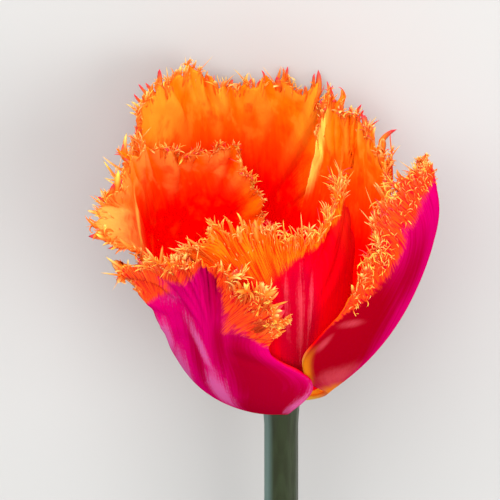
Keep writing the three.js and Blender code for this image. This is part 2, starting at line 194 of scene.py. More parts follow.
@dataclass
class Petal:
    """A petal. Places on it are u, from -1 on the low side to 1 on the high side, and v, from 0 at the
    base to 1 at the top. The base is a radius and a height, and other pairs are the low side's and the
    high side's. Lists that run round the rim go, in even angles seen from the focus that the veins fan
    out from, from the low side at 0.7 of the length over its corner, the tip and the other corner to the
    high side."""
    name: str
    azimuth: float
    length: float
    slopes: tuple
    top_cut: tuple
    width: tuple
    flare: tuple
    ruffle: float
    phase: float
    fringe: tuple
    seed: int
    palette: dict
    rise: tuple
    tuck: tuple
    crumple: float
    buckle: float
    rim_zone: tuple
    lobes: tuple
    hair: tuple
    tufts: int
    teeth: int
    ribs: int
    base: tuple = (5.5, 0)
    waves: int = 5
    droop: tuple = ((0, 0, 0), (0, 0, 0))
    focus: float = 0.35
    grain: tuple = (0, 0.35)
    grain_length: float = 25
    crumple_depth: float = 6
    comb: tuple = (0, 0, 0, 0, 0)
    lean: tuple = (0, 0, 0, 0, 0)
    curly: float = 0.25
    crimson: float = 0.15
    curls: int = 0
    curls_at: tuple = (0, 1)
    curls_in: float = 0.9
    streaky: float = 1.0
    # Spot lists: glow brings orange patches outside and painted highlights inside, pale brings pale
    # streaks and painted sheen, deep brings darker crimson and painted shade, warm brings yellower spots
    # that are partly painted light.
    glow: tuple = ()
    pale: tuple = ()
    deep: tuple = ()
    warm: tuple = ()

    def __post_init__(self):
        middles = (np.arange(MIDRIB_STEPS) + 0.5) / MIDRIB_STEPS
        slope = np.radians(through(self.slopes, middles))
        step = self.length / MIDRIB_STEPS
        self.radii = self.base[0] + np.concatenate([[0], np.cumsum(step * np.cos(slope))])
        self.heights = self.base[1] + np.concatenate([[0], np.cumsum(step * np.sin(slope))])
        self.stations = np.linspace(0, 1, MIDRIB_STEPS + 1)
        random = np.random.default_rng(self.seed)
        phases = random.uniform(0, math.tau, RANDOM_PHASES)
        self.frill_phases = phases[:3]
        self.rib_phase = phases[4]
        self.fold_phases = phases[5:7]
        reach = LOBES_REACH * math.pi * FAN_LENGTH
        count = int(2 * reach / LOBE_SPACING)
        scatter = random.uniform(-LOBE_SCATTER, LOBE_SCATTER, count)
        self.lobe_place = np.linspace(-reach, reach, count) + scatter
        self.lobe_half = random.uniform(*LOBE_HALF, count)
        self.lobe_height = random.uniform(*LOBE_HEIGHT, count) ** LOBE_HEIGHT_POWER
        self.lobe_turn = random.uniform(-1, 1, count)

    def sided(self, pair, u, v, *foot):
        """A value along the petal out of its low or its high side's list, which may have a foot added."""
        low, high = pair
        return np.where(u < 0, through([*foot, *low], v), through([*foot, *high], v))

    def half_width(self, u, v):
        return self.sided(self.width, u, v)

    def plain(self, u, v):
        """The CAD's middle surface."""
        side = np.abs(u)
        t = v - through(self.top_cut, (u + 1) / 2) * np.maximum(v, 0) ** TOP_CUT_POWER
        radius = np.interp(t, self.stations, self.radii)
        height = np.interp(t, self.stations, self.heights)
        angle = math.radians(self.azimuth)
        angle = angle + u * self.half_width(u, v) / np.maximum(radius, WIDTH_MEASURED_FROM)
        edge = side**EDGE_POWER
        flare = self.sided(self.flare, u, v, 0) * edge
        droop = self.sided(self.droop, u, v, 0) * edge
        rim = side**RUFFLE_SIDE_POWER + np.maximum(v, 0) ** RUFFLE_TOP_POWER
        rim = np.minimum(rim, 1) ** RUFFLE_FALL
        turn = np.arctan2(u, (v - RUFFLE_CENTRE) * BLADE_ASPECT) / math.pi
        wave = self.ruffle * rim * np.sin(math.tau * (self.waves * turn + self.phase))
        r = radius + flare + wave
        return np.stack([r * np.cos(angle), r * np.sin(angle), height - droop], -1)

    def depth(self, u, v):
        """Millimetres in from the fringed margin."""
        start = np.where(u < 0, *self.fringe)
        side = (1 - np.abs(u)) * self.half_width(u, v) + np.maximum(start - v, 0) * self.length
        top = (1 - v) * self.length
        soft = CORNER_ROUNDING
        nearer = -soft * np.log(np.exp(-side / soft) + np.exp(-top / soft))
        return nearer + soft * math.log(2) * np.exp(-np.abs(side - top) / soft)

    def fan(self, u, v):
        """Place along the margin, in about millimetres, of the vein that runs out through (u, v)."""
        return np.arctan2(u, (v - self.focus) * BLADE_ASPECT) * FAN_LENGTH

    def from_focus(self, u, v):
        return np.hypot(u, (v - self.focus) * BLADE_ASPECT)

    def line(self, u, v):
        """Which of the fine lines of the rim zone runs out through (u, v), in about millimetres."""
        return np.arctan2(u - self.grain[0], (v - self.grain[1]) * BLADE_ASPECT) * self.grain_length

    def round_rim(self, values, u, v):
        """A value of one of the lists that run round the rim."""
        widest = math.atan2(1, (RIM_LISTED_FROM - self.focus) * BLADE_ASPECT)
        return through(values, (self.fan(u, v) / FAN_LENGTH / widest + 1) / 2)

    def normal(self, u, v, surface=None):
        surface = surface or self.plain
        h = NORMAL_STEP
        across = surface(u + h, v) - surface(u - h, v)
        up = surface(u, np.minimum(v + h, 1)) - surface(u, np.maximum(v - h, 0))
        return unit(np.cross(across, up))

    def margin(self, share):
        """(u, v) on the fringed margin, from its start on the low side (0) over the top to 1."""
        start, end = self.fringe
        low = (1 - start) * self.length
        high = (1 - end) * self.length
        top = self.half_width(-1, 1) + self.half_width(1, 1)
        place = share * (low + top + high)
        u = np.clip((place - low) / top, 0, 1) * 2 - 1
        v_low = start + place / self.length
        v_high = 1 - (place - low - top) / self.length
        v = np.where(place < low, v_low, np.where(place > low + top, v_high, 1.0))
        return u, np.clip(v, 0, 1)

    def inward(self, u, v, distance):
        """(u, v) moved this many millimetres in from the margin, back along its fine line."""
        du, dv = u - self.grain[0], (v - self.grain[1]) * BLADE_ASPECT
        size = np.maximum(np.hypot(du, dv), NEAREST_TO_GRAIN)
        du, dv = du / size, dv / size
        h = INWARD_STEP
        step = np.linalg.norm(self.plain(u, v) - self.plain(u - h * du, v - h * dv), axis=-1) / h
        reach = distance / np.maximum(step, LEAST_STRETCH)
        return u - du * reach, v - dv * reach

    def torn(self, u, v):
        """Reach of the margin's lobes beyond the plain rim, which is tucked in to leave them room, and
        how far they turn over, in millimetres."""
        place = self.fan(u, v)[..., None]
        shape = np.maximum(1 - np.abs(place - self.lobe_place) / self.lobe_half, 0)
        reach = shape * self.lobe_height
        best = np.argmax(reach, -1)
        top = np.take_along_axis(reach, best[..., None], -1)[..., 0]
        size = np.maximum(self.round_rim(self.lobes, u, v), 0)
        depth = np.maximum(self.depth(u, v), 0)
        reach = top * size * np.exp(-((depth / LOBE_FALL) ** LOBE_FALL_POWER))
        turn = reach * self.lobe_turn[best] * LOBE_TURN
        return reach - self.round_rim(self.tuck, u, v) * np.exp(-((depth / TUCK_FALL) ** 2)), turn

    def folds(self, u, v):
        """How far the frilled rim and the broader folds under it stand off the plain surface."""
        place = self.fan(u, v)
        depth = np.maximum(self.depth(u, v), 0)
        frill = sum(amount * np.sin(math.tau * (place / length + FRILL_SLANT * depth) + phase)
                    for (amount, length), phase in zip(FRILLS, self.frill_phases))
        broad = sum(amount * np.sin(math.tau * place / length + phase + slant * depth)
                    for (amount, length, slant), phase in zip(FOLDS, self.fold_phases))
        near = self.crumple * np.exp(-((depth / self.crumple_depth) ** FRILL_FALL_POWER))
        under = self.buckle * smoothstep(*FOLDS_END_OVER, depth)
        shown = smoothstep(*FOLDS_START_OVER, self.from_focus(u, v))
        return shown * (near * (frill - FOLDS_IN) + under * (broad - FOLDS_IN))

    def crumpled(self, u, v):
        """The middle surface with the crumples and lobes of the fringed rim."""
        ribs = RIB_HEIGHT * np.sin(math.tau * self.line(u, v) / RIB_SPACING + self.rib_phase)
        ribs = ribs * smoothstep(*RIBS_END_OVER, self.depth(u, v))
        ribs = ribs * smoothstep(*RIBS_START_OVER, self.from_focus(u, v))
        reach, turn = self.torn(u, v)
        out = unit(self.plain(u, v) - self.plain(*self.inward(u, v, OUTWARD_FROM)))
        shift = self.folds(u, v) + ribs + turn
        return self.plain(u, v) + shift[..., None] * self.normal(u, v) + reach[..., None] * out

    def zone(self, u, v):
        """Depth as a share of the coloured rim zone's width: 0 on the margin, 1 at its inner border."""
        widths = np.maximum(self.round_rim(self.rim_zone, u, v), NARROWEST_ZONE)
        return np.maximum(self.depth(u, v), 0) / widths


# Display colours of the petals: the outside's, then the inside's, then the foot of the hairs. Beside the
# petals' own colours, the pale colour also paints sheen on rounded edges, the deep colour partly paints
# shade, light paints highlights, warm partly paints light and the hollow colour partly paints shade in
# the hollows of folds
COMMON = dict(inner_base=(255, 190, 40), inner=(250, 0, 0), warm=(255, 150, 40), light=(255, 200, 90),
              shade_and_mottle=(255, 40, 0), hair_foot=(255, 122, 30))
MAGENTA = dict(
    COMMON, base=(204, 160, 72), body=(204, 0, 98), pale=(208, 94, 156), deep=(154, 0, 33),
    patch=(214, 124, 26), rim=(246, 80, 24), rim_line=(206, 12, 30),
    inner_upper=(255, 66, 0), inner_rim=(255, 122, 8))
RED = dict(
    COMMON, base=(250, 150, 10), body=(234, 0, 16), pale=(220, 70, 84), deep=(188, 0, 36),
    patch=(255, 66, 20), rim=(255, 112, 12), rim_line=(240, 36, 6),
    inner_upper=(255, 60, 0), inner_rim=(255, 120, 8))
ORANGE = dict(
    COMMON, base=(240, 160, 40), body=(226, 6, 70), pale=(235, 90, 110), deep=(225, 10, 20),
    patch=(226, 6, 70), rim=(255, 116, 20), rim_line=(246, 54, 10), inner_base=(255, 180, 30),
    inner_upper=(255, 122, 8), inner_rim=(255, 134, 10), warm=(255, 158, 44), light=(255, 226, 96),
    shade_and_mottle=(255, 56, 2))
CARMINE = dict(
    MAGENTA, pale=(202, 66, 80), patch=(208, 112, 16), rim=(242, 70, 18), deep=(152, 0, 20),
    hair_foot=(250, 84, 14))
PEACH = dict(ORANGE, warm=(255, 152, 68), inner_upper=(255, 100, 8))

PETALS = (
    Petal(
        "petal_outer_front", azimuth=238, length=57.5,
        slopes=(4, 40, 77, 85, 72), top_cut=(0.03, 0.02, 0.01, 0, 0.02, 0.04, 0.05),
        width=((4, 10, 14, 13, 13, 15.5, 17), (4, 9, 14.5, 21, 13, 16, 14)),
        flare=((0, 2, 9), (0, 1, 3)), droop=((0, 1, 5.5), (0, 1, 4)),
        ruffle=0.9, waves=4, phase=0.5, fringe=(0.85, 0.78), seed=11,
        palette=MAGENTA, rise=(0.6, 1), focus=0.62, grain=(-0.9, 0.25), grain_length=42,
        tuck=(0.5, 1.5, 0, 1.5, 1), crumple=0.9, buckle=0.25,
        rim_zone=(2, 4, 5, 5, 4, 2, 0.5, 4, 8.5, 12, 12.5, 9, 4),
        lobes=(1, 3, 4, 3.6, 2.6, 0.8, 0, 0.6, 2.4, 3.6, 4, 3.4, 1),
        hair=(0.2, 0.5, 0.6, 0.8, 0.9, 0.5, 0, 0.3, 0.7, 0.9, 0.8, 0.6, 0.2),
        comb=(-0.5, -0.6, -0.5, -0.3, 0, 0, 0, 0, 0, 0, 0, 0, 0),
        lean=(-0.3, -0.3, -0.4, 0, -0.3, -0.3, 0),
        tufts=54, teeth=44, ribs=600, curls=60, curls_at=(0.58, 0.95), curls_in=0.3, curly=0.4,
        # The pale spots near either edge and the long band along the base are painted sheen on the
        # rounded edges; the leaning spots near the middle are pale streaks.
        pale=(Spot(-0.24, 0.6, 0.13, 0.16, 0.85, lean=-1.7),
              Spot(-0.04, 0.4, 0.22, 0.15, lean=-0.5),
              Spot(-0.96, 0.6, 0.15, 0.13), Spot(-0.78, 0.42, 0.26, 0.17),
              Spot(-0.75, 0.82, 0.4, 0.08, 0.45), Spot(0, 0.1, 0.8, 0.07, 0.8),
              Spot(1, 0.48, 0.1, 0.12, 0.5), Spot(0.97, 0.37, 0.12, 0.12, 0.8)),
        # The two broad deep spots low on the high side are darker crimson deepened into painted shade on
        # the lower belly; the others are darker crimson.
        deep=(Spot(0.65, 0.3, 0.55, 0.3, 1.2), Spot(0.5, 0.52, 0.45, 0.26, 1.05),
              Spot(0.12, 0.64, 0.22, 0.22, 0.75), Spot(0.1, 0.9, 0.3, 0.35, 0.65),
              Spot(-0.35, 0.55, 0.2, 0.3, 0.7, lean=-0.6))),
    Petal(
        "petal_outer_right", azimuth=353, length=71,
        slopes=(28, 50, 67, 84, 138), top_cut=(0.09, 0.03, 0.02, 0.05, 0.09, 0.12, 0.15),
        width=((4.5, 12, 27, 36, 33, 27, 24), (4, 11, 19, 23, 25, 23, 18)),
        flare=((0.7, -0.3, 0), (1, 1, 1)),
        ruffle=0.7, phase=0.1, fringe=(0.72, 0.6), seed=23,
        palette=CARMINE, rise=(0.5, 1), streaky=0.2,
        tuck=(0.5, 1, 1, 0.8, 0.5), crumple=0.6, buckle=0.15,
        rim_zone=(6, 7, 6.5, 4, 1, 1, 1), lobes=(3, 3.2, 2.5, 2, 1.5, 1, 1),
        hair=(1, 1.2, 1.1, 0.8, 0.6, 0.5, 0.5), comb=(0.2, 0.1, 0, 0, 0, 0, 0),
        lean=(-0.3, -0.4, -0.4, -0.3, 0, 0, 0),
        tufts=70, teeth=36, ribs=500, curls=160, curls_at=(0, 0.5), curly=0.55,
        glow=(Spot(-1, 0.42, 0.06, 0.12), Spot(-0.9, 0.19, 0.3, 0.09, 0.8)),
        pale=(Spot(-0.83, 0.605, 0.12, 0.03, 0.8, lean=-3.5),
              Spot(-0.94, 0.55, 0.05, 0.05, 0.75), Spot(-0.74, 0.31, 0.3, 0.12, 0.8)),
        deep=(Spot(-0.8, 0.5, 0.45, 0.35, 1.15), Spot(-0.5, 0.7, 0.3, 0.25, 0.75))),
    Petal(
        "petal_outer_back", azimuth=114, length=77.5,
        slopes=(9, 46, 77, 86, 78), top_cut=(0.13, 0.09, 0.08, 0.06, 0, 0.01, 0.05),
        width=((4, 14, 21, 24, 25, 24, 22), (4, 14, 21, 25, 26, 23, 20.5)),
        flare=((0, 1, 2), (0, 0, 2)),
        ruffle=1.1, phase=0, fringe=(0.55, 0.55), seed=37,
        palette=ORANGE, rise=(0.6, 1.05),
        tuck=(1.2, 1.5, 1.8, 2.2, 1.5), crumple=1.2, crumple_depth=8, buckle=0.45,
        rim_zone=(6, 6, 6, 7, 8, 8, 6), lobes=(1, 4.8, 4, 3.4, 2.8, 3.4, 1),
        hair=(0.1, 0.8, 1, 0.9, 0.7, 0.8, 0.1), tufts=76, teeth=64, ribs=250, crimson=0.2,
        warm=(Spot(0.68, 0.86, 0.25, 0.16, 0.8), Spot(0.15, 0.92, 0.3, 0.07, 0.5))),
    Petal(
        "petal_inner_front", azimuth=279, base=(4.7, 2.6), length=65,
        slopes=(14, 50, 84, 96, 98), top_cut=(0.12, 0.08, 0.08, 0.12, 0.1, 0.03, 0.02),
        width=((3.4, 12, 20, 25, 26, 25, 23), (3.4, 8, 11, 15, 18, 19.5, 20)),
        flare=((0, 1, 4), (-2, -5, -8)), droop=((0, 1, 6), (0, 0, 0)),
        ruffle=0.7, waves=4, phase=0.3, fringe=(0.6, 0.93), seed=53,
        palette=RED, rise=(0.6, 0.95), focus=0.55, grain=(0, 0.5), grain_length=28,
        tuck=(1, 1.5, 1, 1, 0), crumple=1.1, buckle=0.3,
        rim_zone=(8, 14, 12, 6, 3, 2, 1), lobes=(2, 3.6, 3.2, 2.6, 2.5, 2.5, 0.4),
        hair=(0.6, 0.7, 0.9, 1.3, 1.2, 1, 0), comb=(0, 0, 0, 0.1, 0.5, 0.8, 0.2),
        lean=(0, 0, 0, 0.1, 0, -0.2, -0.3), tufts=90, teeth=40, ribs=420, curly=0.4, crimson=0.2,
        glow=(Spot(0.75, 1, 0.45, 0.3, 0.5),),
        pale=(Spot(-0.1, 0.66, 0.03, 0.2, 0.75, lean=-0.1),
              Spot(0.02, 0.62, 0.05, 0.26, 0.85),
              Spot(0.13, 0.66, 0.04, 0.22, 0.75, lean=0.1),
              Spot(0.02, 0.5, 0.18, 0.25, 0.35)),
        deep=(Spot(0.02, 0.62, 0.24, 0.32, 1.2),)),
    Petal(
        "petal_inner_right", azimuth=54, base=(4.7, 2.6), length=64.5,
        slopes=(14, 50, 76, 84, 76), top_cut=(0.12, 0.11, 0.08, 0.04, 0.02, 0, 0),
        width=((3.4, 11, 17, 20, 20, 18, 14), (3.4, 9, 12, 12, 11, 10, 9)),
        flare=((-2, -3, -3), (0, 0, 0)),
        ruffle=0.9, phase=0.2, fringe=(0.5, 0.86), seed=59,
        palette=ORANGE, rise=(0.5, 1),
        tuck=(1, 1.5, 1.5, 1.5, 1), crumple=0.8, crumple_depth=7, buckle=0.15,
        rim_zone=(7, 7, 7, 7, 7, 7, 3), lobes=(3, 4, 4, 3.6, 3.4, 3.2, 1),
        hair=(0.6, 0.7, 0.7, 0.6, 0.6, 0.6, 0.2), tufts=64, teeth=60, ribs=250, crimson=0.45,
        # The glow spot paints a highlight on the rolled fold of the high margin.
        glow=(Spot(1, 0.86, 0.19, 0.18, 1.8),), warm=(Spot(0, 0.8, 0.5, 0.1, 0.4),)),
    Petal(
        "petal_inner_left", azimuth=160, base=(4.7, 2.6), length=65,
        slopes=(12, 44, 72, 80, 76), top_cut=(0.03, 0.1, 0.1, 0.02, 0, 0.04, 0.1),
        width=((3.4, 12, 21, 28, 31, 31, 29), (3.4, 10, 17, 20, 22, 24, 23)),
        flare=((0, -4, -6), (-2, 1, 10)), droop=((0, 3, 8), (0, -1, 3)),
        ruffle=0.9, phase=0.4, fringe=(0.55, 0.6), seed=67,
        palette=PEACH, rise=(0.7, 0.98),
        tuck=(0.5, 0.8, 1.5, 3, 3), crumple=1.2, crumple_depth=7, buckle=0.4,
        rim_zone=(4, 4, 4, 5, 8, 10, 6), lobes=(1.8, 2, 2.4, 3.4, 4.6, 5, 3.4),
        hair=(0.4, 0.9, 0.9, 1, 0.9, 0.9, 0.4), lean=(-0.6, -0.8, -0.8, -0.5, 0, 0, 0),
        tufts=60, teeth=52, ribs=400, crimson=0.25,
        # The glow spots paint highlights along the curled flap's ridges, and the warm spot paints the
        # light on the lit inside of that flap.
        glow=(Spot(0.42, 0.78, 0.07, 0.2, 0.8, lean=-1.2),
              Spot(0.75, 0.8, 0.06, 0.14, 0.6)),
        warm=(Spot(0.8, 0.72, 0.42, 0.42, 1.15),)),
)


def add_object(name, data):
    made = bpy.data.objects.new(name, data)
    bpy.context.scene.collection.objects.link(made)
    return made


class Shell:
    """Vertices, faces and per-vertex values that are gathered for one mesh."""

    def __init__(self, names):
        self.points = []
        self.faces = []
        self.values = {name: [] for name in names}
        self.count = 0

    def add(self, points, faces, **values):
        points = np.asarray(points, float).reshape(-1, 3)
        self.points.append(points)
        self.faces.extend(np.asarray(f) + self.count for f in faces)
        for name, parts in self.values.items():
            parts.append(np.broadcast_to(np.ravel(values[name]), len(points)))
        self.count += len(points)

    def build(self, name, material, slot, node):
        row = np.clip(to_row(np.concatenate(self.points)), CAD_LOW, CAD_HIGH)
        mesh = bpy.data.meshes.new(name)
        mesh.from_pydata(row.tolist(), [], [f.tolist() for group in self.faces for f in group])
        for key, parts in self.values.items():
            attribute = mesh.attributes.new(key, "FLOAT", "POINT")
            attribute.data.foreach_set("value", np.concatenate(parts).astype(np.float32))
        mesh.validate()
        mesh.shade_smooth()
        mesh.materials.append(material)
        obj = add_object(name, mesh)
        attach(obj, "root")
        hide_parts(node)


SKIN_VALUES = ("along", "across", "zone", "fan", "inside", "pale", "deep", "warm", "ridge", "glow")
STRAND_VALUES = ("share", "tint")


def grid_faces(rows, columns):
    j, i = np.meshgrid(np.arange(rows), np.arange(columns), indexing="ij")
    a = (j * (columns + 1) + i).ravel()
    return np.stack([a, a + 1, a + columns + 2, a + columns + 1], -1)


def blade(petal, shell):
    """The petal's closed blade, thin at the rim, in two faces joined round the edge."""
    u, v = np.meshgrid(np.linspace(-1, 1, COLUMNS + 1), np.linspace(0, 1, ROWS + 1))
    middle = petal.crumpled(u, v)
    normal = petal.normal(u, v, petal.crumpled)
    depth = petal.depth(u, v)
    half = (THICK_RIM + (THICK_MIDDLE - THICK_RIM) * smoothstep(*THICKENS_OVER, depth)) / 2
    side = smoothstep(*SIDE_STARTS_OVER, np.abs(u))
    half = half + (THICK_SIDE - THICK_MIDDLE) / 2 * side * smoothstep(*SIDE_THICKENS_OVER, depth)
    outer = keep_above(middle + half[..., None] * normal, BELLY_HEIGHT)
    inner = keep_above(middle - half[..., None] * normal, BELLY_HEIGHT + 2 * half)
    faces = grid_faces(ROWS, COLUMNS)
    size = u.size
    index = np.arange(size).reshape(ROWS + 1, COLUMNS + 1)
    loop = np.concatenate([index[0, :-1], index[:-1, -1], index[-1, :0:-1], index[:0:-1, 0]])
    ahead = np.roll(loop, -1)
    edge = np.stack([loop, loop + size, ahead + size, ahead], -1)
    same = dict(along=v, across=u, zone=petal.zone(u, v), fan=petal.line(u, v))
    for key in ("pale", "deep", "warm", "glow"):
        same[key] = spots(getattr(petal, key), u, v)
    values = {key: np.tile(value.ravel(), 2) for key, value in same.items()}
    values["inside"] = np.repeat([0.0, 1.0], size)
    folds = petal.folds(u, v).ravel()
    values["ridge"] = np.concatenate([folds, -folds])
    points = np.concatenate([outer.reshape(-1, 3), inner.reshape(-1, 3)])
    shell.add(points, [faces, faces[:, ::-1] + size, edge], **values)


FREE_STEPS = (0.0, 0.16, 0.34, 0.54, 0.76, 1.0)
RIB_STEPS = (0.0, 0.35, 0.7, 1.0)
BURIED_STEPS = (-1.0, -0.5)
STRAND_TAPER = ((-1, -0.5, 0, 0.5, 1), (0.35, 0.9, 1.0, 0.8, 0.25))
FACE_LIFT = 0.1
LEAST_BEND = 0.05
BOX_MARGIN = 0.3 * MM
BOX_LOW = np.array(CAD_LOW) + BOX_MARGIN
BOX_HIGH = np.array(CAD_HIGH) - BOX_MARGIN
BOX_TESTED_AT = (0.5, 1.0)
BOX_TRIES = 10
BOX_SHORTENING = 0.7


def turned(vectors, axis, angle):
    """Vectors turned round unit axes by angles."""
    c, s = np.cos(angle)[:, None], np.sin(angle)[:, None]
    along = np.sum(vectors * axis, -1, keepdims=True)
    return vectors * c + np.cross(axis, vectors) * s + axis * along * (1 - c)


def strands(petal, shell, u, v, buried, length, width, thick, side_turn, face_turn, curl, face, tint,
            sides=3, steps=FREE_STEPS):
    """Hairs, teeth and ribs. Each follows the blade up to (u, v), then bows and tapers to a point."""
    lift = FACE_LIFT * face[:, None]
    followed = {}
    for at in BURIED_STEPS:
        foot = petal.inward(u, v, buried * -at)
        followed[at] = petal.crumpled(*foot) + lift * petal.normal(*foot, petal.crumpled)
    normal = petal.normal(u, v, petal.crumpled)
    root = petal.crumpled(u, v) + lift * normal
    out = unit(petal.crumpled(u, v) - petal.crumpled(*petal.inward(u, v, OUTWARD_FROM)))
    across = unit(np.cross(out, normal))
    out = unit(out + across * side_turn[:, None] + normal * face_turn[:, None])
    amount = np.maximum(np.hypot(curl[:, 0], curl[:, 1]), LEAST_BEND)
    axis = unit(np.cross(out, across * curl[:, 0:1] + normal * curl[:, 1:2]))
    aim = np.cross(axis, out)

    def arc(t, length):
        angle = amount * t
        bow = (out * np.sin(angle)[:, None] + aim * (1 - np.cos(angle))[:, None]) / amount[:, None]
        return root + bow * length[:, None]

    wanted = length
    for _ in range(BOX_TRIES):
        outside = np.zeros(len(u), bool)
        for t in BOX_TESTED_AT:
            place = to_row(arc(t, length))
            outside |= np.any((place < BOX_LOW) | (place > BOX_HIGH), axis=-1)
        length = np.where(outside, BOX_SHORTENING * length, length)
    width, thick = width * length / wanted, thick * length / wanted
    places = np.array([*BURIED_STEPS, *steps[:-1]])
    angles = ring_angles(sides)
    rings = []
    for at, size in zip(places, np.interp(places, *STRAND_TAPER)):
        t = max(at, 0)
        centre = followed[at] if at < 0 else arc(t, length)
        wide = turned(across, axis, amount * t) * (size * width)[:, None]
        deep = turned(normal, axis, amount * t) * (size * thick)[:, None]
        rings.append(centre[:, None, :] + np.cos(angles)[None, :, None] * wide[:, None, :]
                     + np.sin(angles)[None, :, None] * deep[:, None, :])
    count = len(u)
    body = np.stack(rings, 1).reshape(count, len(rings) * sides, 3)
    tip = arc(1.0, length)
    points = keep_above(np.concatenate([body, tip[:, None, :]], 1), BELLY_HEIGHT)
    each = len(rings) * sides + 1
    index = np.arange(each - 1).reshape(-1, sides)
    ahead = np.roll(index, -1, 1)
    quads = np.stack([index[:-1], index[1:], ahead[1:], ahead[:-1]], -1).reshape(-1, 4)
    tips = np.stack([index[-1], np.full(sides, each - 1), ahead[-1]], -1)
    start = (np.arange(count) * each)[:, None, None]
    groups = [(start + group).reshape(-1, group.shape[1]) for group in (quads, tips, index[:1])]
    share = np.tile([*np.repeat(places, sides), 1.0], count)
    shell.add(points, groups, share=share, tint=np.repeat(tint, each))


# The fringe: millimetres, radians and shares; draws are given as low, high and power

SHORTEST = 0.15
LEAST_SIZE = 0.1
CURLED = (1.8, 4.5)

HAIRS_IN_TUFT = (4, 11)
TUFT_SPREAD = 0.006
PARTING = (-0.6, 0.6)
TUFT_LENGTH = (1.8, 4.4)
HAIR_LENGTH = (0.5, 1.15)
HAIR_RADIUS = (0.14, 0.23)
HAIR_BEND = (0.2, 1.4)
HAIR_BURIED = 1.2
TUFT_TINT = (0, 1, 1.5)
CURLY_RADIUS = 1.15
NEEDLE_SHARE = 0.05
NEEDLE_LENGTH = 1.7
NEEDLE_RADIUS = 0.8
NEEDLE_BEND = 0.1

TEETH_IN_FINGERS = (1, 5)
TOOTH_STEP = 0.013
TOOTH_FAN = 0.24
TOOTH_LENGTH = (1.6, 4.4, 1.4)
TOOTH_WIDTH = (0.3, 0.7)
TOOTH_THICKNESS = 0.17
TOOTH_BURIED = 2.2
TOOTH_SIDES = 4
FULL_LOBE = 3

OUTER_RIBS = 0.6
RIB_BURIED = (0.35, 0.6)
RIB_LENGTH = (0.7, 2.2)
RIB_RADIUS = (0.1, 0.16)
RIB_FLATNESS = 1.2

CURL_LENGTH = (1.2, 2.8)
CURL_RADIUS = (0.13, 0.2)
CURL_BURIED = 0.5


def rolled(angle, bend):
    return np.stack([bend * np.cos(angle), bend * np.sin(angle)], -1)


